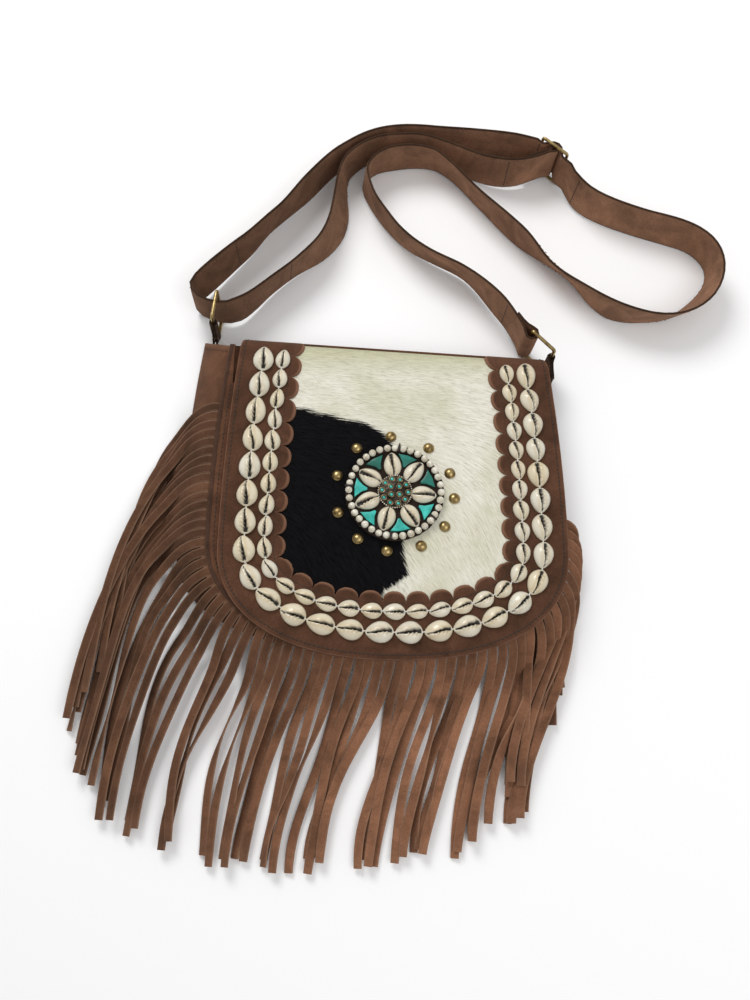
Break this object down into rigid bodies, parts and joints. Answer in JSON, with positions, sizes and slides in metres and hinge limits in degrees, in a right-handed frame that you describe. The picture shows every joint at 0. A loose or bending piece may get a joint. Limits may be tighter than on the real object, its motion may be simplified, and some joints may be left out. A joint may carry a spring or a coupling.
{
  "type": "fringed suede bag",
  "caption": "Suede shoulder bag with a hinged flap trimmed in hair-on hide, cowrie shells and a turquoise medallion, a long cut fringe and an adjustable strap.",
  "frame": {"origin": "on the rear face of the back panel, under the flap's centre line", "axes": "+X to the right as the flap is looked at, +Y up the flap to its fold and the strap, +Z out of the flap"},
  "size_m": [0.5539, 0.6608, 0.0492],
  "materials": {
    "suede": "brown suede with a soft nap",
    "fringe_suede": "thin brown suede, cut into strands",
    "strap_suede": "brown suede with dark painted edges",
    "lining": "dark smooth lining leather",
    "hide": "hair-on hide, white with a black patch",
    "shell": "glossy natural cowrie shell",
    "pearl": "pearly glass bead",
    "turquoise": "polished turquoise",
    "backing": "dark backing leather",
    "brass": "antique brass"
  },
  "bodies": {
    "pouch": {"back_panel": "suede", "back_lining": "lining", "front_panel": "suede", "gusset": "suede", "fringe": "fringe_suede", "shoulder_strap": "strap_suede", "left_tab": "suede", "right_tab": "suede", "slider": "brass"},
    "flap": {"flap_lining": "lining", "hide_panel": "hide", "flap_border": "suede", "outer_shell_row": "shell", "inner_shell_row": "shell", "medallion_backing": "backing", "bead_ring": "pearl", "petal_shell_1": "shell", "petal_shell_2": "shell", "petal_shell_3": "shell", "petal_shell_4": "shell", "petal_shell_5": "shell", "petal_shell_6": "shell", "petal_shell_7": "shell", "turquoise_chip_1": "turquoise", "turquoise_chip_2": "turquoise", "turquoise_chip_3": "turquoise", "turquoise_chip_4": "turquoise", "turquoise_chip_5": "turquoise", "turquoise_chip_6": "turquoise", "turquoise_chip_7": "turquoise", "medallion_boss": "brass", "stud_01": "brass", "stud_02": "brass", "stud_03": "brass", "stud_04": "brass", "stud_05": "brass", "stud_06": "brass", "stud_07": "brass", "stud_08": "brass", "stud_09": "brass", "stud_10": "brass", "stud_11": "brass"},
    "left_ring": {"left_ring": "brass"},
    "right_ring": {"right_ring": "brass"}
  },
  "joints": [
    {"name": "flap_hinge", "type": "hinge", "parent": "pouch", "child": "flap", "pos_m": [0, 0.1038, 0.022], "axis": [-0.9992, 0.041, 0], "range_deg": [0, 75]},
    {"name": "left_ring_pivot", "type": "hinge", "parent": "pouch", "child": "left_ring", "pos_m": [-0.1575, 0.1395, 0.023], "axis": [0, 0, 1], "range_deg": [-10, 10]},
    {"name": "right_ring_pivot", "type": "hinge", "parent": "pouch", "child": "right_ring", "pos_m": [0.1372, 0.118, 0.023], "axis": [0, 0, 1], "range_deg": [-4, 4]}
  ]
}
